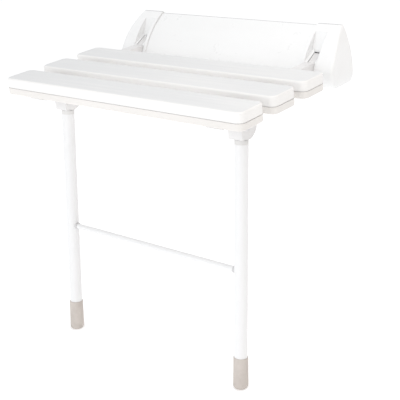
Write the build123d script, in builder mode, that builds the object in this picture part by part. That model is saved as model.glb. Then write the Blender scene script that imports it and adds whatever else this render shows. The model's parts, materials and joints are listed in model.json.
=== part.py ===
from build123d import *
import os
from math import copysign, cos, radians, sin, sqrt

# Wall-mounted fold-down shower seat with a folding leg frame.
# Millimetres. The origin is the centre of the wall plate's back face, on the wall.
# +Y points into the wall, -Y into the room, +X to the right, +Z up.
# Z = 0 is the level of the seat's top surface.
# Both sides are the same, mirrored about the plane X = 0. The right side, +X, is drawn.

# ---- Seat -----------------------------------------------------------------
SEAT_LENGTH = 500
SEAT_HEIGHT = 485  # seat surface above the floor
SLAT_NAMES = ["rear", "middle", "front"]
SLAT_WIDTH = 61
SLAT_GAP = 23
SLAT_PITCH = SLAT_WIDTH + SLAT_GAP
SLAT_THICKNESS = 29
SEAT_REAR_Y = -113  # rear edge of the rear slat
SLAT_CORNER_R = 12
SLAT_TOP_R = 3.5
SLAT_BOTTOM_R = 3
SHELL_WALL = 2.5
UPPER_SHELL_DEPTH = 16
PARTING_GROOVE = 1.2
PARTING_INSET = 0.9
BOSS_R = 4.5
SLAT_YS = [SEAT_REAR_Y - SLAT_WIDTH / 2 - i * SLAT_PITCH for i in range(len(SLAT_NAMES))]

# ---- Seat arms and their hinge lugs -----------------------------------------
ARM_X = 188.5  # middle of each arm and leg
ARM_WIDTH = 20
RAIL_HEIGHT = 10
RAIL_TOP_Z = -SLAT_THICKNESS
RAIL_BOTTOM_Z = RAIL_TOP_Z - RAIL_HEIGHT
RAIL_FRONT_Y = -334
RAIL_TAPER_Y = -318
RAIL_TAPER_HEIGHT = 3.5
ARM_TOP_Z = -4
ARM_HEIGHT = 14
ARM_BOTTOM_Z = ARM_TOP_Z - ARM_HEIGHT
RISER_FRONT_Y = -111.5
RISER_FOOT_Y = -97
RISER_HEAD_Y = -89
RISER_BEND_R = 6
ARM_END_TOP_Y = -61.3  # the wide part ends on a slant, beside the housing's front
ARM_END_BOTTOM_Y = -68.9
HINGE_Y = -40
HINGE_Z = -10
LUG_X = 190
LUG_WIDTH = 12
LUG_HUB_R = 11
LUG_CREST_Y = -37.5  # top of the crest that closes the housing's slot when the seat is down
LUG_CREST_INSET = 1.2  # crest to the channel's floor
HINGE_PIN_R = 5
HINGE_BUSH_R = 7
RUNNING_GAP = 0.05
PILOT_GAP = 0.05
HOLE_GAP = 0.25

# ---- Slat screws -----------------------------------------------------------
SLAT_SCREW_OFFSETS = [-10, 10]  # from each slat's middle line
SLAT_SCREW_R = 2
SLAT_SCREW_HEAD_R = 3.9
SLAT_SCREW_HEAD_HEIGHT = 2.4
SLAT_SCREW_SEAT_Z = -34
SLAT_SCREW_TIP_Z = -12
PILOT_END_Z = -10

# ---- Wall unit -------------------------------------------------------------
PLATE_HALF_LENGTH = 214
PLATE_HALF_HEIGHT = 42
PLATE_THICKNESS = 3
PLATE_FLANGE_DEPTH = 28
WALL_HOLE_R = 3.5
WALL_HOLE_SPACING_X = 300
WALL_HOLE_SPACING_Z = 50
FRONT_ARC_R = 147  # front face of the housing, an arc seen from the side
FRONT_ARC_Y = 65
FRONT_ARC_Z = -80.7
HOUSING_TOP_Z = 48.6
HOUSING_BOTTOM_Z = -49.5
HOUSING_FRONT_Y = -90  # in front of everything in the housing
CHIN_R = 26
HOUSING_WALL = 2.6
COVER_INSET = 3  # the middle cover lies this far below the end caps' surface
COVER_TOP_DROP = 2.8
COVER_HALF_LENGTH = 172.6
CAP_INNER_X = 171.8
CAP_TOP_X = 219
CAP_WIDE_X = 234.5
CAP_WIDE_Z = -27  # the cap's end is upright here, and curves in above and below
CAP_BOTTOM_X = 228
CAP_EDGE_R = 6
SLOT_HALF_WIDTH = 7
SLOT_BOTTOM_Z = -21.5
SLOT_BACK_Y = -33.5

# The channel above each slot takes the wide part of the arm when the seat is up.
CHANNEL_CORNER_Y = -33
CHANNEL_CORNER_Z = 9.8
CHANNEL_FLOOR_SLOPE = 0.52  # rise over run, from the corner out to the room
CHANNEL_BACK_LEAN = 0.44  # run over rise, from the corner up to the front face
CHANNEL_INNER_X = 177.3
CHANNEL_OUTER_X = 201.5

COVER_SCREW_Y = -20
COVER_SCREW_X = 120
CAP_SCREW_X = 208
COVER_SCREW_R = 1.75
COVER_SCREW_HEAD_R = 3.4
COVER_SCREW_HEAD_HEIGHT = 1.9
COVER_SCREW_SEAT_Z = HOUSING_BOTTOM_Z + COVER_INSET
COVER_SCREW_TIP_Z = -38
COVER_BOSS_R = 5.2

# ---- Hinge brackets --------------------------------------------------------
CHEEK_THICKNESS = 3
CHEEK_INNER = 7.2  # from the middle of the lug to each cheek
BRACKET_BASE_HALF_WIDTH = 17.7
BRACKET_BASE_FRONT_Y = -PLATE_THICKNESS - 3
BRACKET_BOTTOM_Z = -36
BRACKET_TOP_Z = 22
HINGE_BOLT_OFFSET_X = 14
HINGE_BOLT_ZS = [-26, 12]
CHEEK_TOP_Z = 2.5  # over the pin
CHEEK_SHOULDER_Y = -24
CHEEK_SHOULDER_Z = 4
CHEEK_NOSE_Y = -52
BOLT_R = 2
BOLT_HEAD_R = 3.6
BOLT_HEAD_HEIGHT = 3
STOP_WEB_FRONT_Y = -64
STOP_WEB_REAR_Y = -54
STOP_WEB_TOP_Z = -21
STOP_WEB_THICKNESS = 3
STOP_PAD_TOP_Z = ARM_BOTTOM_Z - 0.1
STOP_PAD_MARGIN = 0.5
WASHER_THICKNESS = 0.9
WASHER_GAP = 0.15  # washer to lug
WASHER_R = 10
HINGE_PIN_HEAD = (8, 2.5)  # radius and height
CLIP_THICKNESS = 1
CLIP_GROOVE_DEPTH = 1
CLIP_RIM = 3.5
CLIP_GAP = 0.3

# ---- Legs ------------------------------------------------------------------
LEG_PIVOT_Y = -260
LEG_PIVOT_Z = -50
LEG_LEAN = 7  # degrees from vertical, foot end towards the room
FLOOR_Z = -SEAT_HEIGHT
TUBE_R = 11
TUBE_WALL = 1.5
TUBE_START = 30  # along the leg, from the pivot
HEAD_R = 10
HEAD_WIDTH = 20
HEAD_CORNER_R = 12.5
COLLAR_START = 23
SPIGOT_LENGTH = 26
SPIGOT_GAP = 0.1
LEG_PIN_R = 4
LEG_PIN_HEAD = (6.4, 1.4)
LEG_BUSH_R = 5.5
ROD_R = 4.75
ROD_Z = -285
ROD_ENTRY = 3.5  # how far the rod reaches into each leg
RING_R = 6
RING_LENGTH = 2.4
FOOT_R = 12.6
FOOT_TAPER = 0.5  # degrees
FOOT_LENGTH = 54
FOOT_FLOOR = 8
FOOT_BOTTOM_R = 5
FOOT_RIM_R = 1

# ---- Leg brackets ----------------------------------------------------------
LEG_BRACKET_INNER = 10.3
LEG_BRACKET_OUTER = 13
LEG_BRACKET_FRONT_Y = -278
LEG_BRACKET_BOTTOM_Z = -69
LEG_BRACKET_TOP_Z = -29.6
LEG_BRACKET_NOSE_R = 22
LEG_STOP_GAP = 0.1
RIVET_YS = [-270, -246]
RIVET_Z = -34
RIVET_R = 2.5
RIVET_HEAD_R = 4.2
RIVET_HEAD_HEIGHT = 1.7
RIVET_DOME_R = 1.5

# ---- The leg's own frame ------------------------------------------------------
LEAN_SIN = sin(radians(LEG_LEAN))
LEAN_COS = cos(radians(LEG_LEAN))
LEG_REACH = (LEG_PIVOT_Z - FLOOR_Z) / LEAN_COS  # pivot to floor, along the leg
ROD_DROP = (LEG_PIVOT_Z - ROD_Z) / LEAN_COS  # pivot to cross rod, along the leg
ROD_Y = LEG_PIVOT_Y - ROD_DROP * LEAN_SIN


# ---- Helpers ----------------------------------------------------------------


def save(piece, label):
    """Name a finished piece and write its STEP file."""
    piece.part.label = label
    export_step(piece.part, f"parts/{label}.step")


def save_pair(right, name):
    """Write the right-hand piece, and its mirror image as the left-hand one."""
    save(right, f"{name}_right")
    with BuildPart() as left:
        mirror(right.part, about=Plane.YZ)
    save(left, f"{name}_left")


def save_mirrored_group(right, label):
    """Write one node that holds the right-hand pieces and their mirror images."""
    with BuildPart() as group:
        add(right.part)
        mirror(right.part, about=Plane.YZ)
    save(group, label)


def side_plane(x):
    """A plane at x seen from the right: local X is +Y and local Y is +Z."""
    return Plane.YZ.offset(x)


def leg_section(drop):
    """A plane square to the right leg, at a distance below its pivot."""
    origin = (ARM_X, LEG_PIVOT_Y - drop * LEAN_SIN, LEG_PIVOT_Z - drop * LEAN_COS)
    return Plane(origin=origin, x_dir=(1, 0, 0), z_dir=(0, LEAN_SIN, LEAN_COS))


def slab(x_span, y_span, z_span, mode=Mode.ADD):
    """A block between two corners."""
    with Locations((x_span[0], y_span[0], z_span[0])):
        Box(
            x_span[1] - x_span[0],
            y_span[1] - y_span[0],
            z_span[1] - z_span[0],
            align=Align.MIN,
            mode=mode,
        )


def cross_cylinder(radius, x_span, y, z, mode=Mode.ADD):
    """A cylinder along X."""
    with BuildSketch(side_plane(x_span[0])) as disc:
        with Locations((y, z)):
            Circle(radius)
    extrude(disc.sketch, amount=x_span[1] - x_span[0], mode=mode)


def upright_cylinders(radius, points, z_span, mode=Mode.ADD):
    """Cylinders along Z at several (x, y) points."""
    with BuildSketch(Plane.XY.offset(z_span[0])) as discs:
        with Locations(points):
            Circle(radius)
    extrude(discs.sketch, amount=z_span[1] - z_span[0], mode=mode)


def leg_cylinder(radius, drop_span, mode=Mode.ADD):
    """A cylinder along the right leg, between two distances below its pivot."""
    with BuildSketch(leg_section(drop_span[1])) as disc:
        Circle(radius)
    extrude(disc.sketch, amount=drop_span[1] - drop_span[0], mode=mode)


def hex_sockets(plane, points, head_radius, depth):
    """Sink a hexagon socket into each screw head."""
    with BuildSketch(plane) as hexagons:
        with Locations(points):
            RegularPolygon(head_radius / 2, 6)
    extrude(hexagons.sketch, amount=depth, mode=Mode.SUBTRACT)


# ---- Seat -----------------------------------------------------------------


def slat_layer(z, centre_y, inset=0.0):
    """The outline of a slat, set in by inset, at height z."""
    with BuildSketch(Plane.XY.offset(z)) as layer:
        with Locations((0, centre_y)):
            RectangleRounded(
                SEAT_LENGTH - 2 * inset, SLAT_WIDTH - 2 * inset, SLAT_CORNER_R - inset
            )
    return layer.sketch


def slat_screw_points(centre_y):
    """Where the screws of one slat stand, on both arms."""
    return [(x, centre_y + dy) for x in (-ARM_X, ARM_X) for dy in SLAT_SCREW_OFFSETS]


def slat_upper(centre_y, label):
    """Upper shell of a slat: open below, with a set-back lip at the parting line, and bosses."""
    lip_z = -UPPER_SHELL_DEPTH - PARTING_GROOVE
    boss_z = -SLAT_THICKNESS + SHELL_WALL
    points = slat_screw_points(centre_y)
    with BuildPart() as shell:
        extrude(slat_layer(-UPPER_SHELL_DEPTH, centre_y), amount=UPPER_SHELL_DEPTH)
        fillet(shell.edges().group_by(Axis.Z)[-1], SLAT_TOP_R)
        extrude(slat_layer(lip_z, centre_y, PARTING_INSET), amount=PARTING_GROOVE)
        hollow = slat_layer(lip_z, centre_y, SHELL_WALL)
        extrude(hollow, amount=-lip_z - SHELL_WALL, mode=Mode.SUBTRACT)
        upright_cylinders(BOSS_R, points, (boss_z, -SHELL_WALL))
        upright_cylinders(SLAT_SCREW_R + PILOT_GAP, points, (boss_z, PILOT_END_Z), Mode.SUBTRACT)
    save(shell, label)


def slat_lower(centre_y, label):
    """Lower shell of a slat: a shallow tray with a hole under each boss."""
    rim_z = -UPPER_SHELL_DEPTH - PARTING_GROOVE
    floor_z = -SLAT_THICKNESS + SHELL_WALL
    points = slat_screw_points(centre_y)
    with BuildPart() as tray:
        extrude(slat_layer(-SLAT_THICKNESS, centre_y), amount=rim_z + SLAT_THICKNESS)
        fillet(tray.edges().group_by(Axis.Z)[0], SLAT_BOTTOM_R)
        hollow = slat_layer(floor_z, centre_y, SHELL_WALL)
        extrude(hollow, amount=rim_z - floor_z, mode=Mode.SUBTRACT)
        upright_cylinders(
            SLAT_SCREW_R + HOLE_GAP, points, (-SLAT_THICKNESS, floor_z), Mode.SUBTRACT
        )
    save(tray, label)


def slat_screws():
    """The screws that go up through the arms into the slats' bosses, as one group."""
    points = [point for y in SLAT_YS for point in slat_screw_points(y)]
    head_z = SLAT_SCREW_SEAT_Z - SLAT_SCREW_HEAD_HEIGHT
    with BuildPart() as screws:
        upright_cylinders(SLAT_SCREW_R, points, (SLAT_SCREW_SEAT_Z, SLAT_SCREW_TIP_Z))
        upright_cylinders(SLAT_SCREW_HEAD_R, points, (head_z, SLAT_SCREW_SEAT_Z))
        hex_sockets(
            Plane.XY.offset(head_z), points, SLAT_SCREW_HEAD_R, SLAT_SCREW_HEAD_HEIGHT / 2
        )
    save(screws, "slat_screws")


def arm_outline():
    """Side outline of the arm: rail under the slats, riser behind them, arm back to the housing."""
    with BuildLine() as outline:
        Polyline(
            (ARM_END_TOP_Y, ARM_TOP_Z),
            (RISER_FRONT_Y, ARM_TOP_Z),
            (RISER_FRONT_Y, RAIL_TOP_Z),
            (RAIL_FRONT_Y, RAIL_TOP_Z),
            (RAIL_FRONT_Y, RAIL_TOP_Z - RAIL_TAPER_HEIGHT),
            (RAIL_TAPER_Y, RAIL_BOTTOM_Z),
            (RISER_FOOT_Y, RAIL_BOTTOM_Z),
            (RISER_HEAD_Y, ARM_BOTTOM_Z),
            (ARM_END_BOTTOM_Y, ARM_BOTTOM_Z),
            close=True,
        )
    make_face(outline.edges())


def lug_outline():
    """Side outline of the lug: neck, hub, and the crest that fills the slot."""
    with Locations((ARM_END_BOTTOM_Y, ARM_BOTTOM_Z)):
        Rectangle(HINGE_Y - ARM_END_BOTTOM_Y, ARM_HEIGHT, align=Align.MIN)
    with Locations((HINGE_Y, HINGE_Z)):
        Circle(LUG_HUB_R)
    crest_z = channel_floor_z(LUG_CREST_Y) - LUG_CREST_INSET
    foot_y = LUG_CREST_Y - (crest_z - ARM_TOP_Z) / CHANNEL_FLOOR_SLOPE
    with BuildLine() as crest:
        Polyline(
            (LUG_CREST_Y, HINGE_Z),
            (LUG_CREST_Y, crest_z),
            (foot_y, ARM_TOP_Z),
            (foot_y, HINGE_Z),
            close=True,
        )
    make_face(crest.edges())


def seat_arms():
    """Cranked arm that carries the slats, with its hinge lug at the wall end."""
    points = [(ARM_X, y + dy) for y in SLAT_YS for dy in SLAT_SCREW_OFFSETS]
    arm_span = (ARM_X - ARM_WIDTH / 2, ARM_X + ARM_WIDTH / 2)
    lug_span = (LUG_X - LUG_WIDTH / 2, LUG_X + LUG_WIDTH / 2)
    with BuildPart() as arm:
        with BuildSketch(side_plane(arm_span[0])) as outline:
            arm_outline()
            corners = outline.vertices().filter_by_position(Axis.X, RISER_FOOT_Y, RISER_HEAD_Y)
            fillet(corners, RISER_BEND_R)
        extrude(amount=ARM_WIDTH)
        with BuildSketch(side_plane(lug_span[0])):
            lug_outline()
        extrude(amount=LUG_WIDTH)
        cross_cylinder(HINGE_BUSH_R, lug_span, HINGE_Y, HINGE_Z, Mode.SUBTRACT)
        hole_r = SLAT_SCREW_R + HOLE_GAP
        upright_cylinders(hole_r, points, (RAIL_BOTTOM_Z, RAIL_TOP_Z), Mode.SUBTRACT)
        recess_r = SLAT_SCREW_HEAD_R + HOLE_GAP
        upright_cylinders(recess_r, points, (RAIL_BOTTOM_Z, SLAT_SCREW_SEAT_Z), Mode.SUBTRACT)
        for y in RIVET_YS:
            cross_cylinder(RIVET_R + PILOT_GAP, arm_span, y, RIVET_Z, Mode.SUBTRACT)
    save_pair(arm, "seat_arm")


def bush(x_span, outer_radius, pin_radius, y, z, name):
    """Plain bush along X, pressed into its part and running on its pin."""
    with BuildPart() as sleeve:
        cross_cylinder(outer_radius, x_span, y, z)
        cross_cylinder(pin_radius + RUNNING_GAP, x_span, y, z, Mode.SUBTRACT)
    save_pair(sleeve, name)


# ---- Pins and clips ---------------------------------------------------------


def clip_span(inner_face_x):
    """Where a pin's clip sits, just inside the inner cheek."""
    return (inner_face_x - CLIP_GAP - CLIP_THICKNESS, inner_face_x - CLIP_GAP)


def pivot_pin(radius, head, x_span, y, z, name):
    """Headed pin along X, from cheek to cheek, with a clip groove at its inner end."""
    head_radius, head_height = head
    groove = clip_span(x_span[0])
    with BuildPart() as pin:
        cross_cylinder(radius, (groove[0] - CLIP_THICKNESS, groove[0]), y, z)
        cross_cylinder(radius - CLIP_GROOVE_DEPTH, groove, y, z)
        cross_cylinder(radius, (groove[1], x_span[1]), y, z)
        cross_cylinder(head_radius, (x_span[1], x_span[1] + head_height), y, z)
        fillet(pin.edges().group_by(Axis.X)[-1], head_height / 2)
    save_pair(pin, name)


def pin_clips(radius, inner_face_x, y, z, label):
    """Open retaining clips that sit in the pins' grooves, as one group."""
    span = clip_span(inner_face_x)
    mouth = radius - CLIP_GROOVE_DEPTH + PILOT_GAP
    rim = radius + CLIP_RIM
    with BuildPart() as clip:
        cross_cylinder(rim - CLIP_GROOVE_DEPTH, span, y, z)
        cross_cylinder(mouth, span, y, z, Mode.SUBTRACT)
        slab(span, (y - mouth, y + mouth), (z - rim, z), Mode.SUBTRACT)
    save_mirrored_group(clip, label)


# ---- Wall unit --------------------------------------------------------------


def front_y(z, inset):
    """Y of the housing's front arc at height z, for a surface set back by inset."""
    radius = FRONT_ARC_R - inset
    return FRONT_ARC_Y - sqrt(radius**2 - (z - FRONT_ARC_Z) ** 2)


def housing_body(x_span, inset, top_drop):
    """The wall unit's section along X: flat top, arc front, round chin, flat bottom and back."""
    bottom_z = HOUSING_BOTTOM_Z + inset
    top_z = HOUSING_TOP_Z - top_drop
    middle_z = (top_z + bottom_z) / 2
    brow = (front_y(top_z, inset), top_z)
    chin = (front_y(bottom_z, inset), bottom_z)
    with BuildSketch(side_plane(x_span[0])) as section:
        with BuildLine():
            ThreePointArc(brow, (front_y(middle_z, inset), middle_z), chin)
            Polyline(chin, (0, bottom_z), (0, top_z), brow)
        make_face()
        fillet(section.vertices().sort_by(Axis.X)[0], CHIN_R - inset)
    extrude(section.sketch, amount=x_span[1] - x_span[0])


def trim_to_cap_outline(inset):
    """Keep what lies inside the end cap's front outline, widest at CAP_WIDE_Z."""
    top = (CAP_TOP_X - inset, HOUSING_TOP_Z)
    wide = (CAP_WIDE_X - inset, CAP_WIDE_Z)
    bottom = (CAP_BOTTOM_X - inset, HOUSING_BOTTOM_Z)
    with BuildSketch(Plane.XZ) as outline:
        with BuildLine():
            TangentArc(wide, top, tangent=(0, 1))
            Polyline(top, (CAP_INNER_X, top[1]), (CAP_INNER_X, bottom[1]), bottom)
            TangentArc(wide, bottom, tangent=(0, -1))
        make_face()
    extrude(outline.sketch, amount=-HOUSING_FRONT_Y, mode=Mode.INTERSECT)


def round_cap_end(cap, radius):
    """Round the edge where the cap's end meets its front, chin and underside."""
    end_edges = cap.edges().filter_by(lambda edge: edge.center().X > CHANNEL_OUTER_X)
    rim = end_edges.filter_by(lambda edge: edge.center().Y < -1)
    fillet(rim.filter_by(Axis.Y, reverse=True), radius)


def channel_floor_z(y):
    """Height of the channel's sloping floor at y."""
    return CHANNEL_CORNER_Z + CHANNEL_FLOOR_SLOPE * (y - CHANNEL_CORNER_Y)


def arm_channel(margin):
    """The channel above a slot, grown by margin: a floor that slopes out, and a leaning back."""
    floor_rise = margin * sqrt(1 + CHANNEL_FLOOR_SLOPE**2)
    back_run = margin * sqrt(1 + CHANNEL_BACK_LEAN**2)
    lean, slope = CHANNEL_BACK_LEAN, CHANNEL_FLOOR_SLOPE
    corner_run = (back_run - lean * floor_rise) / (1 - lean * slope)
    corner_y = CHANNEL_CORNER_Y + corner_run
    corner_z = channel_floor_z(corner_y) - floor_rise
    front_z = channel_floor_z(HOUSING_FRONT_Y) - floor_rise
    top_y = corner_y + lean * (HOUSING_TOP_Z - corner_z)
    with BuildPart() as cut:
        with BuildSketch(side_plane(CHANNEL_INNER_X - margin)):
            with BuildLine():
                Polyline(
                    (corner_y, corner_z),
                    (HOUSING_FRONT_Y, front_z),
                    (HOUSING_FRONT_Y, HOUSING_TOP_Z),
                    (top_y, HOUSING_TOP_Z),
                    close=True,
                )
            make_face()
        extrude(amount=CHANNEL_OUTER_X - CHANNEL_INNER_X + 2 * margin)
    return cut.part


def end_caps():
    """End cap: a shell open at the back and towards the middle cover, slotted for the seat arm."""
    span = (CAP_INNER_X, CAP_WIDE_X)
    points = [(CAP_SCREW_X, COVER_SCREW_Y)]
    outer_channel = arm_channel(0)
    inner_channel = arm_channel(HOUSING_WALL)
    with BuildPart() as hollow:
        housing_body(span, HOUSING_WALL, HOUSING_WALL)
        trim_to_cap_outline(HOUSING_WALL)
        round_cap_end(hollow, CAP_EDGE_R - HOUSING_WALL)
        add(inner_channel, mode=Mode.SUBTRACT)
    with BuildPart() as cap:
        housing_body(span, 0, 0)
        trim_to_cap_outline(0)
        round_cap_end(cap, CAP_EDGE_R)
        add(outer_channel, mode=Mode.SUBTRACT)
        add(hollow.part, mode=Mode.SUBTRACT)
        slot_x = (LUG_X - SLOT_HALF_WIDTH, LUG_X + SLOT_HALF_WIDTH)
        slot_z = (SLOT_BOTTOM_Z, CHANNEL_CORNER_Z)
        slab(slot_x, (HOUSING_FRONT_Y, SLOT_BACK_Y), slot_z, Mode.SUBTRACT)
        boss = (HOUSING_BOTTOM_Z, -PLATE_HALF_HEIGHT)
        upright_cylinders(COVER_BOSS_R, points, boss)
        upright_cylinders(COVER_SCREW_R + HOLE_GAP, points, boss, Mode.SUBTRACT)
        recess = (HOUSING_BOTTOM_Z, COVER_SCREW_SEAT_Z)
        upright_cylinders(COVER_SCREW_HEAD_R + HOLE_GAP, points, recess, Mode.SUBTRACT)
    save_pair(cap, "end_cap")


def middle_cover():
    """Middle cover: the same section, lying a little below the end caps, open at the back."""
    span = (-COVER_HALF_LENGTH, COVER_HALF_LENGTH)
    points = [(x, COVER_SCREW_Y) for x in (-COVER_SCREW_X, COVER_SCREW_X)]
    boss = (COVER_SCREW_SEAT_Z, -PLATE_HALF_HEIGHT)
    with BuildPart() as core:
        housing_body(span, COVER_INSET + HOUSING_WALL, COVER_TOP_DROP + HOUSING_WALL)
    with BuildPart() as cover:
        housing_body(span, COVER_INSET, COVER_TOP_DROP)
        add(core.part, mode=Mode.SUBTRACT)
        upright_cylinders(COVER_BOSS_R, points, boss)
        upright_cylinders(COVER_SCREW_R + HOLE_GAP, points, boss, Mode.SUBTRACT)
    save(cover, "middle_cover")


def cover_screw_points():
    """Where the screws of the caps and the middle cover stand."""
    return [(x, COVER_SCREW_Y) for x in (-CAP_SCREW_X, -COVER_SCREW_X, COVER_SCREW_X, CAP_SCREW_X)]


def cover_screws():
    """Screws that hold the covers to the plate's flange from below, as one group."""
    points = cover_screw_points()
    head_z = COVER_SCREW_SEAT_Z - COVER_SCREW_HEAD_HEIGHT
    with BuildPart() as screws:
        upright_cylinders(COVER_SCREW_R, points, (COVER_SCREW_SEAT_Z, COVER_SCREW_TIP_Z))
        upright_cylinders(COVER_SCREW_HEAD_R, points, (head_z, COVER_SCREW_SEAT_Z))
        hex_sockets(
            Plane.XY.offset(head_z), points, COVER_SCREW_HEAD_R, COVER_SCREW_HEAD_HEIGHT / 2
        )
    save(screws, "cover_screws")


def hinge_bolt_points():
    """Where the right bracket's bolts go through its base and the plate, as (x, z)."""
    offsets = (-HINGE_BOLT_OFFSET_X, HINGE_BOLT_OFFSET_X)
    return [(LUG_X + dx, z) for dx in offsets for z in HINGE_BOLT_ZS]


def wall_plate():
    """Steel back plate with four wall screw holes and a bottom flange for the cover screws."""
    x_span = (-PLATE_HALF_LENGTH, PLATE_HALF_LENGTH)
    flange_z = (-PLATE_HALF_HEIGHT, -PLATE_HALF_HEIGHT + PLATE_THICKNESS)
    bolt_points = [(side * x, z) for side in (-1, 1) for x, z in hinge_bolt_points()]
    with BuildPart() as plate:
        slab(x_span, (-PLATE_THICKNESS, 0), (-PLATE_HALF_HEIGHT, PLATE_HALF_HEIGHT))
        slab(x_span, (-PLATE_FLANGE_DEPTH, 0), flange_z)
        with BuildSketch(Plane.XZ):
            with GridLocations(WALL_HOLE_SPACING_X, WALL_HOLE_SPACING_Z, 2, 2):
                Circle(WALL_HOLE_R)
            with Locations(bolt_points):
                Circle(BOLT_R + PILOT_GAP)
        extrude(amount=PLATE_THICKNESS, mode=Mode.SUBTRACT)
        pilot_r = COVER_SCREW_R + PILOT_GAP
        upright_cylinders(pilot_r, cover_screw_points(), flange_z, Mode.SUBTRACT)
    save(plate, "wall_plate")


def hinge_brackets():
    """Welded bracket: base on the plate, two cheeks beside the lug, and the seat's stop web."""
    base_x = (LUG_X - BRACKET_BASE_HALF_WIDTH, LUG_X + BRACKET_BASE_HALF_WIDTH)
    base_y = (BRACKET_BASE_FRONT_Y, -PLATE_THICKNESS)
    web_z = (STOP_WEB_TOP_Z - STOP_WEB_THICKNESS, STOP_WEB_TOP_Z)
    with BuildPart() as bracket:
        slab(base_x, base_y, (BRACKET_BOTTOM_Z, BRACKET_TOP_Z))
        for cheek_x in (LUG_X - CHEEK_INNER - CHEEK_THICKNESS, LUG_X + CHEEK_INNER):
            with BuildSketch(side_plane(cheek_x)):
                with BuildLine():
                    Polyline(
                        (-PLATE_THICKNESS, BRACKET_TOP_Z),
                        (CHEEK_SHOULDER_Y, CHEEK_SHOULDER_Z),
                        (HINGE_Y, CHEEK_TOP_Z),
                        (CHEEK_NOSE_Y, HINGE_Z),
                        (CHEEK_NOSE_Y, STOP_WEB_TOP_Z),
                        (STOP_WEB_FRONT_Y, STOP_WEB_TOP_Z),
                        (STOP_WEB_FRONT_Y, web_z[0]),
                        (-PLATE_THICKNESS, BRACKET_BOTTOM_Z),
                        close=True,
                    )
                make_face()
                with Locations((HINGE_Y, HINGE_Z)):
                    Circle(HINGE_PIN_R + PILOT_GAP, mode=Mode.SUBTRACT)
            extrude(amount=CHEEK_THICKNESS)
        web_x = (LUG_X - CHEEK_INNER, LUG_X + CHEEK_INNER)
        slab(web_x, (STOP_WEB_FRONT_Y, STOP_WEB_REAR_Y), web_z)
        with BuildSketch(Plane.XZ.offset(PLATE_THICKNESS)):
            with Locations(hinge_bolt_points()):
                Circle(BOLT_R + HOLE_GAP)
        extrude(amount=-BRACKET_BASE_FRONT_Y - PLATE_THICKNESS, mode=Mode.SUBTRACT)
    save_pair(bracket, "hinge_bracket")


def hinge_bracket_bolts():
    """Bolts through the brackets' bases into the plate, as one group."""
    head_plane = Plane.XZ.offset(-BRACKET_BASE_FRONT_Y)
    face_plane = Plane.XZ.offset(-BRACKET_BASE_FRONT_Y + BOLT_HEAD_HEIGHT)
    points = hinge_bolt_points()
    with BuildPart() as bolts:
        with BuildSketch(head_plane):
            with Locations(points):
                Circle(BOLT_R)
        extrude(amount=BRACKET_BASE_FRONT_Y + PILOT_GAP)
        with BuildSketch(head_plane):
            with Locations(points):
                Circle(BOLT_HEAD_R)
        extrude(amount=BOLT_HEAD_HEIGHT)
        hex_sockets(face_plane, points, BOLT_HEAD_R, -BOLT_HEAD_HEIGHT / 2)
    save_mirrored_group(bolts, "hinge_bracket_bolts")


def stop_pads():
    """Rubber pad on each bracket's web, which the arm's neck rests on."""
    x_span = (LUG_X - LUG_WIDTH / 2 + STOP_PAD_MARGIN, LUG_X + LUG_WIDTH / 2 - STOP_PAD_MARGIN)
    y_span = (STOP_WEB_FRONT_Y + STOP_PAD_MARGIN, STOP_WEB_REAR_Y - STOP_PAD_MARGIN)
    with BuildPart() as pad:
        slab(x_span, y_span, (STOP_WEB_TOP_Z, STOP_PAD_TOP_Z))
    save_pair(pad, "stop_pad")


def hinge_washers():
    """Thin washers between each lug and its bracket's cheeks, as one group."""
    with BuildPart() as washers:
        for lug_face_x in (LUG_X - LUG_WIDTH / 2 - WASHER_THICKNESS, LUG_X + LUG_WIDTH / 2):
            start_x = lug_face_x + copysign(WASHER_GAP, lug_face_x - LUG_X)
            span = (start_x, start_x + WASHER_THICKNESS)
            cross_cylinder(WASHER_R, span, HINGE_Y, HINGE_Z)
            cross_cylinder(HINGE_PIN_R + PILOT_GAP, span, HINGE_Y, HINGE_Z, Mode.SUBTRACT)
    save_mirrored_group(washers, "hinge_washers")


# ---- Leg brackets ------------------------------------------------------------


def leg_front_y(z):
    """Y of the front face of the leg's head at height z."""
    return LEG_PIVOT_Y - (LEG_PIVOT_Z - z) * LEAN_SIN / LEAN_COS - HEAD_R / LEAN_COS


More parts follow.
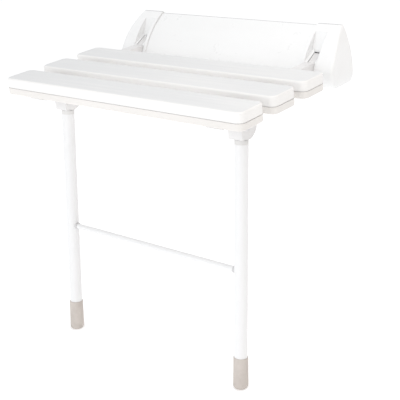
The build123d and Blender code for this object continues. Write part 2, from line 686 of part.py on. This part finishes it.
def leg_brackets():
    """Clevis under each rail: two cheeks, and a front web that the leg leans on."""
    pivot = (LEG_PIVOT_Y, LEG_PIVOT_Z)
    bottom_drop = LEG_PIVOT_Z - LEG_BRACKET_BOTTOM_Z
    arc_start = (LEG_PIVOT_Y - sqrt(LEG_BRACKET_NOSE_R**2 - bottom_drop**2), LEG_BRACKET_BOTTOM_Z)
    arc_middle = (LEG_PIVOT_Y, LEG_PIVOT_Z - LEG_BRACKET_NOSE_R)
    rear_y = LEG_PIVOT_Y + LEG_BRACKET_NOSE_R
    web_y = (LEG_BRACKET_FRONT_Y, leg_front_y(LEG_BRACKET_BOTTOM_Z) - LEG_STOP_GAP)
    web_x = (ARM_X - LEG_BRACKET_INNER, ARM_X + LEG_BRACKET_INNER)
    with BuildPart() as bracket:
        for cheek_x in (ARM_X - LEG_BRACKET_OUTER, ARM_X + LEG_BRACKET_INNER):
            with BuildSketch(side_plane(cheek_x)):
                with BuildLine():
                    ThreePointArc(arc_start, arc_middle, (rear_y, LEG_PIVOT_Z))
                    Polyline(
                        (rear_y, LEG_PIVOT_Z),
                        (rear_y, LEG_BRACKET_TOP_Z),
                        (LEG_BRACKET_FRONT_Y, LEG_BRACKET_TOP_Z),
                        (LEG_BRACKET_FRONT_Y, LEG_BRACKET_BOTTOM_Z),
                        arc_start,
                    )
                make_face()
                with Locations(pivot):
                    Circle(LEG_PIN_R + PILOT_GAP, mode=Mode.SUBTRACT)
            extrude(amount=LEG_BRACKET_OUTER - LEG_BRACKET_INNER)
        slab(web_x, web_y, (LEG_BRACKET_BOTTOM_Z, RAIL_BOTTOM_Z))
        for y in RIVET_YS:
            with BuildSketch(side_plane(ARM_X + LEG_BRACKET_OUTER)):
                with Locations((y, RIVET_Z)):
                    Circle(RIVET_R + PILOT_GAP)
            extrude(amount=-2 * LEG_BRACKET_OUTER, mode=Mode.SUBTRACT)
    save_pair(bracket, "leg_bracket")


def bracket_rivets():
    """Rivets through the brackets' cheeks and the rails, as one group."""
    span = (ARM_X - LEG_BRACKET_OUTER, ARM_X + LEG_BRACKET_OUTER)
    with BuildPart() as rivets:
        for y in RIVET_YS:
            cross_cylinder(RIVET_R, span, y, RIVET_Z)
            cross_cylinder(RIVET_HEAD_R, (span[0] - RIVET_HEAD_HEIGHT, span[0]), y, RIVET_Z)
            cross_cylinder(RIVET_HEAD_R, (span[1], span[1] + RIVET_HEAD_HEIGHT), y, RIVET_Z)
        for ends in (rivets.edges().group_by(Axis.X)[0], rivets.edges().group_by(Axis.X)[-1]):
            fillet(ends, RIVET_DOME_R)
    save_mirrored_group(rivets, "bracket_rivets")


# ---- Legs -------------------------------------------------------------------


def leg_heads():
    """Eye and tongue in the bracket, a collar, and a spigot inside the tube."""
    plane = Plane(
        origin=(ARM_X - HEAD_WIDTH / 2, LEG_PIVOT_Y, LEG_PIVOT_Z),
        x_dir=(0, LEAN_COS, -LEAN_SIN),
        z_dir=(1, 0, 0),
    )
    with BuildPart() as head:
        with BuildSketch(plane):
            Circle(HEAD_R)
            Rectangle(2 * HEAD_R, COLLAR_START, align=(Align.CENTER, Align.MAX))
        extrude(amount=HEAD_WIDTH)
        leg_cylinder(HEAD_CORNER_R, (-2 * HEAD_R, TUBE_START), Mode.INTERSECT)
        leg_cylinder(TUBE_R, (COLLAR_START, TUBE_START))
        leg_cylinder(TUBE_R - TUBE_WALL - SPIGOT_GAP, (TUBE_START, TUBE_START + SPIGOT_LENGTH))
        span = (ARM_X - HEAD_WIDTH / 2, ARM_X + HEAD_WIDTH / 2)
        cross_cylinder(LEG_BUSH_R, span, LEG_PIVOT_Y, LEG_PIVOT_Z, Mode.SUBTRACT)
    save_pair(head, "leg_head")


def leg_tubes():
    """Round leg tube with a hole in its inner side for the cross rod."""
    end = LEG_REACH - FOOT_FLOOR
    with BuildPart() as tube:
        leg_cylinder(TUBE_R, (TUBE_START, end))
        leg_cylinder(TUBE_R - TUBE_WALL, (TUBE_START, end), Mode.SUBTRACT)
        hole_span = (ARM_X - 2 * TUBE_R, ARM_X)
        cross_cylinder(ROD_R + PILOT_GAP, hole_span, ROD_Y, ROD_Z, Mode.SUBTRACT)
    save_pair(tube, "leg_tube")


def cross_rod():
    """Rod that joins the two legs."""
    end_x = ARM_X - TUBE_R + ROD_ENTRY
    with BuildPart() as rod:
        cross_cylinder(ROD_R, (-end_x, end_x), ROD_Y, ROD_Z)
    save(rod, "cross_rod")


def rod_rings():
    """Ring round each end of the rod, saddled on the leg."""
    with BuildPart() as ring:
        cross_cylinder(RING_R, (ARM_X - TUBE_R - RING_LENGTH, ARM_X), ROD_Y, ROD_Z)
        leg_cylinder(TUBE_R + PILOT_GAP, (ROD_DROP - 2 * RING_R, ROD_DROP + 2 * RING_R), Mode.SUBTRACT)
        cross_cylinder(ROD_R + PILOT_GAP, (ARM_X - 2 * TUBE_R, ARM_X), ROD_Y, ROD_Z, Mode.SUBTRACT)
    save_pair(ring, "rod_ring")


def feet():
    """Rubber foot: a cup over the tube's end, flat where it stands on the floor."""
    rim_drop = LEG_REACH - FOOT_LENGTH
    overrun = FOOT_FLOOR / 2
    with BuildPart() as foot:
        with BuildSketch(leg_section(LEG_REACH + overrun)):
            Circle(FOOT_R)
        extrude(amount=FOOT_LENGTH + overrun, taper=FOOT_TAPER)
        fillet(foot.edges().group_by(Axis.Z)[-1], FOOT_RIM_R)
        below_x = (ARM_X - 2 * FOOT_R, ARM_X + 2 * FOOT_R)
        below_y = (LEG_PIVOT_Y - LEG_REACH, LEG_PIVOT_Y)
        slab(below_x, below_y, (FLOOR_Z - FOOT_LENGTH, FLOOR_Z), Mode.SUBTRACT)
        fillet(foot.edges().group_by(Axis.Z)[0], FOOT_BOTTOM_R)
        leg_cylinder(TUBE_R + PILOT_GAP, (rim_drop, LEG_REACH - FOOT_FLOOR), Mode.SUBTRACT)
    save_pair(foot, "foot")


# ---- Everything ---------------------------------------------------------------

os.makedirs("parts", exist_ok=True)

wall_plate()
hinge_brackets()
hinge_bracket_bolts()
stop_pads()
hinge_washers()
hinge_cheeks = (LUG_X - CHEEK_INNER - CHEEK_THICKNESS, LUG_X + CHEEK_INNER + CHEEK_THICKNESS)
pivot_pin(HINGE_PIN_R, HINGE_PIN_HEAD, hinge_cheeks, HINGE_Y, HINGE_Z, "hinge_pin")
pin_clips(HINGE_PIN_R, hinge_cheeks[0], HINGE_Y, HINGE_Z, "hinge_pin_clips")
end_caps()
middle_cover()
cover_screws()

for name, y in zip(SLAT_NAMES, SLAT_YS):
    slat_upper(y, f"{name}_slat_upper_shell")
    slat_lower(y, f"{name}_slat_lower_shell")
slat_screws()
seat_arms()
lug_span = (LUG_X - LUG_WIDTH / 2, LUG_X + LUG_WIDTH / 2)
bush(lug_span, HINGE_BUSH_R, HINGE_PIN_R, HINGE_Y, HINGE_Z, "hinge_bush")
leg_brackets()
bracket_rivets()
leg_cheeks = (ARM_X - LEG_BRACKET_OUTER, ARM_X + LEG_BRACKET_OUTER)
pivot_pin(LEG_PIN_R, LEG_PIN_HEAD, leg_cheeks, LEG_PIVOT_Y, LEG_PIVOT_Z, "leg_pin")
pin_clips(LEG_PIN_R, leg_cheeks[0], LEG_PIVOT_Y, LEG_PIVOT_Z, "leg_pin_clips")

leg_heads()
head_span = (ARM_X - HEAD_WIDTH / 2, ARM_X + HEAD_WIDTH / 2)
bush(head_span, LEG_BUSH_R, LEG_PIN_R, LEG_PIVOT_Y, LEG_PIVOT_Z, "leg_bush")
leg_tubes()
cross_rod()
rod_rings()
feet()
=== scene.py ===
import json
import math

import bpy
from mathutils import Matrix, Vector


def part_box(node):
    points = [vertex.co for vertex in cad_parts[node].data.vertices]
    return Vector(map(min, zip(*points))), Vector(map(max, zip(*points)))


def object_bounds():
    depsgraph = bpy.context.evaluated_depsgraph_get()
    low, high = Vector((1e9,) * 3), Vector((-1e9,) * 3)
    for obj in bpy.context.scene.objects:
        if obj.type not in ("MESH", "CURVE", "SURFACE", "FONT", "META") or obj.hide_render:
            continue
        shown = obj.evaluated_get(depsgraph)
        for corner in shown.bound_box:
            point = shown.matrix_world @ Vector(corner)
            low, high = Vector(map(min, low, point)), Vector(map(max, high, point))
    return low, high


# Looks of a wall-mounted folding shower seat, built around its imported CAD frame.
# Metres, in the CAD frame: +Y into the wall, +X right, +Z up, Z = 0 at the seat's top.

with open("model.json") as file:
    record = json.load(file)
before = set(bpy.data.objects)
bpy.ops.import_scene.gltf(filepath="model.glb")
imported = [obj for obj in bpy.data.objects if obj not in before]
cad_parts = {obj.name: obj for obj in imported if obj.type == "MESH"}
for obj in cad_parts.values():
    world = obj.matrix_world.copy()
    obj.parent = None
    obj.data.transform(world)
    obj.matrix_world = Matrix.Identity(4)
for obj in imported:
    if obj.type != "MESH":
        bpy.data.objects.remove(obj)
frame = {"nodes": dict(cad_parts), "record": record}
cad_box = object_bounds()
NODES = frame["nodes"]
MM = 0.001
CREVICE_SAMPLES = 6
BEVEL_SAMPLES = 4
MOULD_GRAIN = 1400.0  # scale of the fine grain on moulded plastic
GRIP_LINE_PITCH = 1.6 * MM


# ---- Node helpers -------------------------------------------------------------


class Shader:
    """A material's node tree, with one short call for each kind of node."""

    def __init__(self, name):
        self.material = bpy.data.materials.new(name)
        self.material.use_nodes = True
        self.tree = self.material.node_tree
        self.surface = self.tree.nodes["Principled BSDF"]
        self.coords = self.tree.nodes.new("ShaderNodeTexCoord").outputs["Object"]

    def add(self, kind, inputs=None, **settings):
        node = self.tree.nodes.new(kind)
        for key, value in settings.items():
            setattr(node, key, value)
        for key, value in (inputs or {}).items():
            self.put(node.inputs[key], value)
        return node

    def put(self, socket, value):
        if isinstance(value, bpy.types.NodeSocket):
            self.tree.links.new(value, socket)
        else:
            socket.default_value = value

    def stretched(self, scale):
        """Object coordinates scaled by a factor on each axis."""
        node = self.add("ShaderNodeMapping", {"Vector": self.coords, "Scale": scale})
        return node.outputs["Vector"]

    def noise(self, scale, detail=2.0, roughness=0.5, stretch=None, distortion=0.0):
        vector = self.stretched(stretch) if stretch else self.coords
        inputs = {
            "Vector": vector,
            "Scale": scale,
            "Detail": detail,
            "Roughness": roughness,
            "Distortion": distortion,
        }
        return self.add("ShaderNodeTexNoise", inputs).outputs["Fac"]

    def band(self, value, low, high, to_low=0.0, to_high=1.0):
        """Map a value from one range to another, smoothly and clamped."""
        inputs = {0: value, 1: low, 2: high, 3: to_low, 4: to_high}
        node = self.add("ShaderNodeMapRange", inputs, interpolation_type="SMOOTHSTEP")
        return node.outputs["Result"]

    def math(self, operation, a, b=0.0):
        return self.add("ShaderNodeMath", {0: a, 1: b}, operation=operation).outputs[0]

    def mix(self, factor, a, b):
        """Blend two colours."""
        node = self.add("ShaderNodeMix", data_type="RGBA")
        self.put(node.inputs["Factor"], factor)
        self.put(node.inputs["A"], a)
        self.put(node.inputs["B"], b)
        return node.outputs["Result"]

    def facing_up(self, low, high):
        """1 where the surface faces up, 0 on its sides."""
        facing = self.add("ShaderNodeNewGeometry").outputs["Normal"]
        split = self.add("ShaderNodeSeparateXYZ", {"Vector": facing})
        return self.band(split.outputs["Z"], low, high)

    def crevice(self, distance):
        """1 in corners and gaps, 0 on open surfaces."""
        inputs = {"Distance": distance}
        node = self.add("ShaderNodeAmbientOcclusion", inputs, samples=CREVICE_SAMPLES)
        return self.math("SUBTRACT", 1.0, node.outputs["AO"])

    def bump(self, height, distance, strength=1.0, normal=None):
        inputs = {"Height": height, "Distance": distance, "Strength": strength}
        node = self.add("ShaderNodeBump", inputs)
        if normal is not None:
            self.put(node.inputs["Normal"], normal)
        return node.outputs["Normal"]

    def soft_edges(self, radius):
        """Normal that rounds hard edges by a small radius."""
        node = self.add("ShaderNodeBevel", {"Radius": radius}, samples=BEVEL_SAMPLES)
        return node.outputs["Normal"]

    def finish(self, color, roughness, normal=None, **constants):
        self.put(self.surface.inputs["Base Color"], color)
        self.put(self.surface.inputs["Roughness"], roughness)
        if normal is not None:
            self.put(self.surface.inputs["Normal"], normal)
        for key, value in constants.items():
            self.surface.inputs[key.replace("_", " ")].default_value = value
        return self.material


def rgb(red, green, blue):
    return (red, green, blue, 1.0)


# ---- Materials ----------------------------------------------------------------


def moulded_plastic(name, light, dark, sheen=0.32, shade_strength=0.35):
    """Satin moulded plastic: faint flow marks, fine grain, painted shade in corners and on faces that
    point up.
    """
    shader = Shader(name)
    flow = shader.band(shader.noise(9.0, 3.0, 0.6, stretch=(0.35, 1.0, 1.0)), 0.3, 0.7)
    color = shader.mix(flow, rgb(*dark), rgb(*light))
    # Painted shade: corners and gaps are darkened by how closely they are hemmed in.
    crevice_shade = shader.math("MULTIPLY", shader.crevice(4 * MM), shade_strength)
    color = shader.mix(crevice_shade, color, rgb(*[0.72 * value for value in dark]))
    # Painted shade: faces that point up are darkened, standing in for the weaker light on tops.
    top_shade = shader.facing_up(0.95, 0.99)
    color = shader.mix(top_shade, color, rgb(*[0.68 * value for value in dark]))
    spots = shader.noise(MOULD_GRAIN, 2.0, 0.5)
    rough = shader.band(shader.noise(26.0, 4.0, 0.65), 0.25, 0.75, sheen, sheen + 0.1)
    normal = shader.bump(spots, 0.02 * MM, 0.6, shader.soft_edges(0.35 * MM))
    return shader.finish(color, rough, normal, IOR=1.5)


def slat_plastic(name, light, dark, side):
    """The seat's plastic: fine grip lines on top, with the top painted greyer as painted shade and the
    sides lighter as painted light.
    """
    shader = Shader(name)
    split = shader.add("ShaderNodeSeparateXYZ", {"Vector": shader.coords})
    on_top = shader.facing_up(0.9, 0.99)
    phase = shader.math("MULTIPLY", split.outputs["Y"], 2 * math.pi / GRIP_LINE_PITCH)
    line = shader.math("SINE", phase)
    streaks = shader.noise(140.0, 3.0, 0.6, stretch=(0.02, 1.0, 1.0))
    wear = shader.band(shader.noise(6.0, 4.0, 0.6, stretch=(0.5, 1.4, 1.0)), 0.35, 0.7)
    streak_part = shader.math("MULTIPLY", streaks, 0.7)
    wear_part = shader.math("MULTIPLY", wear, 0.3)
    tone = shader.band(shader.math("ADD", streak_part, wear_part), 0.3, 0.7)
    # Painted light and shade: the top takes darker colours and the sides a lighter one, standing in
    # for weaker light on top.
    shaded_top_color = shader.mix(tone, rgb(*dark), rgb(*light))
    lit_side_color = shader.mix(tone, rgb(*[0.97 * value for value in side]), rgb(*side))
    color = shader.mix(on_top, lit_side_color, shaded_top_color)
    # Painted shade: corners and gaps are darkened by how closely they are hemmed in.
    crevice_shade = shader.math("MULTIPLY", shader.crevice(4 * MM), 0.35)
    color = shader.mix(crevice_shade, color, rgb(*[0.72 * value for value in dark]))
    lines = shader.math("MULTIPLY", line, on_top)
    grain = shader.noise(1500.0, 2.0, 0.5)
    height = shader.math("ADD", shader.math("MULTIPLY", lines, 0.35), grain)
    rough = shader.band(wear, 0.0, 1.0, 0.34, 0.46)
    normal = shader.bump(height, 0.03 * MM, 0.7, shader.soft_edges(0.35 * MM))
    return shader.finish(color, rough, normal, IOR=1.5)


def powder_coat(name, light, dark, reach=3 * MM, shade_strength=0.4):
    """White powder coat: orange-peel ripple, a hint of tone, and painted shade where it is sheltered.
    """
    shader = Shader(name)
    tone = shader.band(shader.noise(22.0, 3.0, 0.6), 0.3, 0.7)
    color = shader.mix(tone, rgb(*dark), rgb(*light))
    # Painted shade: sheltered places are darkened by how closely they are hemmed in, over the given
    # reach.
    crevice_shade = shader.math("MULTIPLY", shader.crevice(reach), shade_strength)
    color = shader.mix(crevice_shade, color, rgb(*[0.55 * value for value in dark]))
    peel = shader.noise(520.0, 2.0, 0.4)
    rough = shader.band(shader.noise(40.0, 3.0, 0.6), 0.3, 0.7, 0.3, 0.36)
    normal = shader.bump(peel, 0.03 * MM, 0.3, shader.soft_edges(0.3 * MM))
    return shader.finish(color, rough, normal, IOR=1.5, Coat_Weight=0.15, Coat_Roughness=0.2)


def foot_rubber(name):
    """Warm grey rubber: matte, finely pitted, scuffed darker towards the floor."""
    shader = Shader(name)
    split = shader.add("ShaderNodeSeparateXYZ", {"Vector": shader.coords})
    floor_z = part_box("foot_right")[0][2]
    low = shader.band(split.outputs["Z"], floor_z, floor_z + 16 * MM, 1.0, 0.0)
    scuffs = shader.band(shader.noise(90.0, 5.0, 0.7, stretch=(1.0, 1.0, 0.4)), 0.45, 0.65)
    tone = shader.band(shader.noise(30.0, 3.0, 0.6), 0.3, 0.7)
    color = shader.mix(tone, rgb(0.53, 0.48, 0.445), rgb(0.61, 0.56, 0.52))
    worn = shader.math("MULTIPLY", shader.math("MULTIPLY", low, scuffs), 0.5)
    color = shader.mix(worn, color, rgb(0.3, 0.27, 0.24))
    # Painted shade: corners and gaps are darkened by how closely they are hemmed in.
    crevice_shade = shader.math("MULTIPLY", shader.crevice(3 * MM), 0.5)
    color = shader.mix(crevice_shade, color, rgb(0.2, 0.18, 0.16))
    pits = shader.noise(1100.0, 3.0, 0.6)
    rough = shader.band(scuffs, 0.0, 1.0, 0.62, 0.8)
    normal = shader.bump(pits, 0.05 * MM, 0.8, shader.soft_edges(0.4 * MM))
    return shader.finish(color, rough, normal, IOR=1.45)


def bare_metal(name, tint, rough_low, stretch):
    """Plated or stainless steel: brushed one way, with duller cloudy patches."""
    shader = Shader(name)
    brush = shader.noise(900.0, 3.0, 0.6, stretch=stretch)
    cloud = shader.band(shader.noise(45.0, 3.0, 0.6), 0.35, 0.7)
    color = shader.mix(cloud, rgb(*tint), rgb(*[0.82 * value for value in tint]))
    # Painted shade: corners and gaps are darkened by how closely they are hemmed in.
    crevice_shade = shader.math("MULTIPLY", shader.crevice(2 * MM), 0.5)
    color = shader.mix(crevice_shade, color, rgb(0.12, 0.12, 0.12))
    brushed = shader.band(brush, 0.3, 0.7, rough_low, rough_low + 0.12)
    rough = shader.math("ADD", brushed, shader.math("MULTIPLY", cloud, 0.1))
    normal = shader.bump(brush, 0.02 * MM, 0.5, shader.soft_edges(0.2 * MM))
    return shader.finish(color, rough, normal, Metallic=1.0)


def plain_polymer(name, light, dark, rough, scale):
    """Small moulded or rubber pieces: mottled tone and a fine tooth."""
    shader = Shader(name)
    tone = shader.band(shader.noise(scale, 3.0, 0.6), 0.3, 0.7)
    color = shader.mix(tone, rgb(*dark), rgb(*light))
    fine = shader.noise(12 * scale, 2.0, 0.5)
    roughness = shader.band(fine, 0.3, 0.7, rough, rough + 0.12)
    normal = shader.bump(fine, 0.03 * MM, 0.6, shader.soft_edges(0.2 * MM))
    return shader.finish(color, roughness, normal)


MATERIALS = {
    # The top colours are darker than the side colour: painted shade on the top, painted light on the
    # sides.
    "slat_top_plastic": slat_plastic(
        "slat_top_plastic", (0.81, 0.81, 0.81), (0.76, 0.765, 0.77), (0.9, 0.89, 0.88)
    ),
    # Warmer and darker than the top shell: partly its own tone, partly painted shade for its darker
    # ends.
    "slat_under_plastic": moulded_plastic(
        "slat_under_plastic", (0.83, 0.805, 0.78), (0.79, 0.765, 0.74)
    ),
    "cover_plastic": moulded_plastic(
        "cover_plastic", (0.885, 0.888, 0.89), (0.862, 0.866, 0.868), sheen=0.26, shade_strength=0.3
    ),
    # The long reach paints shade under the seat onto the arms and leg brackets.
    "arm_paint": powder_coat(
        "arm_paint", (0.8, 0.79, 0.79), (0.76, 0.75, 0.75), reach=25 * MM, shade_strength=0.8
    ),
    "tube_paint": powder_coat("tube_paint", (0.845, 0.845, 0.85), (0.838, 0.838, 0.843)),
    "head_plastic": moulded_plastic("head_plastic", (0.78, 0.77, 0.76), (0.72, 0.71, 0.7)),
    "foot_rubber": foot_rubber("foot_rubber"),
    "ring_plastic": plain_polymer(
        "ring_plastic", (0.68, 0.675, 0.68), (0.6, 0.595, 0.6), 0.45, 90.0
    ),
    "plate_steel": bare_metal("plate_steel", (0.62, 0.63, 0.65), 0.3, (0.03, 1.0, 1.0)),
    "fastener_steel": bare_metal("fastener_steel", (0.7, 0.7, 0.71), 0.2, (1.0, 1.0, 0.1)),
    "bearing_plastic": plain_polymer(
        "bearing_plastic", (0.72, 0.7, 0.64), (0.64, 0.62, 0.56), 0.4, 70.0
    ),
    "pad_rubber": plain_polymer(
        "pad_rubber", (0.035, 0.035, 0.035), (0.02, 0.02, 0.02), 0.6, 120.0
    ),
}


def dress_nodes():
    """Give every CAD node the material of its slot in the record."""
    for entry in frame["record"]["subparts"]:
        node = NODES[entry["node"]]
        node.data.materials.clear()
        node.data.materials.append(MATERIALS[entry["material_slot"]])


# ---- Stage ----------------------------------------------------------------------

FLOOR_HALF = 14.0
FLOOR_GLOW = 0.28
WORLD_STRENGTH = 0.86
WORLD_LEFT = (0.97, 0.985, 1.0)
WORLD_RIGHT = (0.7, 0.665, 0.635)
WORLD_BLEND = (0.1, 0.9)  # where the blend to the right-hand colour starts and ends

# Lights: power in watts, offset from the object's middle, size and colour.
KEY_POWER = 17.0
KEY_OFFSET = (-0.1, -2.8, 0.6)
KEY_SIZE = (2.4, 2.0)
KEY_COLOR = (0.96, 0.98, 1.0)
FILL_POWER = 4.5
FILL_OFFSET = (0.6, -0.1, 1.15)
FILL_SIZE = (1.0, 1.0)
FILL_COLOR = (1.0, 0.96, 0.92)


def add_floor():
    """Plain pale floor under the feet."""
    z = cad_box[0][2]
    mesh = bpy.data.meshes.new("floor")
    corners = [(-1, -1), (1, -1), (1, 1), (-1, 1)]
    vertices = [(FLOOR_HALF * x, FLOOR_HALF * y, z) for x, y in corners]
    mesh.from_pydata(vertices, [], [(0, 1, 2, 3)])
    floor = bpy.data.objects.new("floor", mesh)
    bpy.context.scene.collection.objects.link(floor)
    shader = Shader("floor")
    tone = shader.band(shader.noise(3.0, 3.0, 0.5), 0.3, 0.7)
    color = shader.mix(tone, rgb(0.93, 0.93, 0.93), rgb(0.95, 0.95, 0.95))
    glow = {"Emission_Color": rgb(1, 1, 1), "Emission_Strength": FLOOR_GLOW}
    mesh.materials.append(shader.finish(color, 0.9, **glow))


def add_world():
    """Pale surround, darker and warmer towards the right."""
    world = bpy.data.worlds.new("surround")
    world.use_nodes = True
    tree = world.node_tree
    direction = tree.nodes.new("ShaderNodeTexCoord").outputs["Generated"]
    split = tree.nodes.new("ShaderNodeSeparateXYZ")
    ramp = tree.nodes.new("ShaderNodeValToRGB")
    for stop, position, color in zip(ramp.color_ramp.elements, WORLD_BLEND, (WORLD_LEFT, WORLD_RIGHT)):
        stop.position = position
        stop.color = rgb(*color)
    tree.links.new(direction, split.inputs["Vector"])
    tree.links.new(split.outputs["X"], ramp.inputs["Fac"])
    background = tree.nodes["Background"]
    tree.links.new(ramp.outputs["Color"], background.inputs["Color"])
    background.inputs["Strength"].default_value = WORLD_STRENGTH
    bpy.context.scene.world = world


def add_area_light(name, offset, size, power, color):
    """A rectangular light at an offset from the object's middle, aimed at it."""
    centre = (cad_box[0] + cad_box[1]) / 2
    light = bpy.data.lights.new(name, "AREA")
    light.shape = "RECTANGLE"
    light.size, light.size_y = size
    light.energy = power
    light.color = color
    lamp = bpy.data.objects.new(name, light)
    lamp.location = centre + Vector(offset)
    lamp.rotation_euler = (-Vector(offset)).to_track_quat("-Z", "Y").to_euler()
    bpy.context.scene.collection.objects.link(lamp)


def add_lights():
    """A broad soft light from the front, and a weaker warm one from above on the right."""
    add_area_light("key", KEY_OFFSET, KEY_SIZE, KEY_POWER, KEY_COLOR)
    add_area_light("fill", FILL_OFFSET, FILL_SIZE, FILL_POWER, FILL_COLOR)


# ---- Camera ---------------------------------------------------------------------

CAMERA_YAW = 39.74  # degrees, turned to the left of straight at the wall
CAMERA_PITCH = 19.67  # degrees down
CAMERA_ROLL = -5.09
CAMERA_PLACE = (0.9992, -1.3385, 0.39676)
FOCAL_LENGTH = 84.26
SENSOR_WIDTH = 36.0
LENS_SHIFT = -0.125  # the optical axis lies above the middle of the frame


def add_camera():
    """Camera to the right of the seat, looking down at it."""
    data = bpy.data.cameras.new("camera")
    data.sensor_width = SENSOR_WIDTH
    data.lens = FOCAL_LENGTH
    data.shift_y = LENS_SHIFT
    camera = bpy.data.objects.new("camera", data)
    turn = Matrix.Rotation(math.radians(CAMERA_YAW), 4, "Z")
    tilt = Matrix.Rotation(math.radians(90 - CAMERA_PITCH), 4, "X")
    roll = Matrix.Rotation(math.radians(CAMERA_ROLL), 4, "Z")
    camera.matrix_world = Matrix.Translation(CAMERA_PLACE) @ turn @ tilt @ roll
    bpy.context.scene.collection.objects.link(camera)
    bpy.context.scene.camera = camera


dress_nodes()
add_floor()
add_world()
add_lights()
add_camera()
bpy.context.scene.view_settings.view_transform = "Standard"
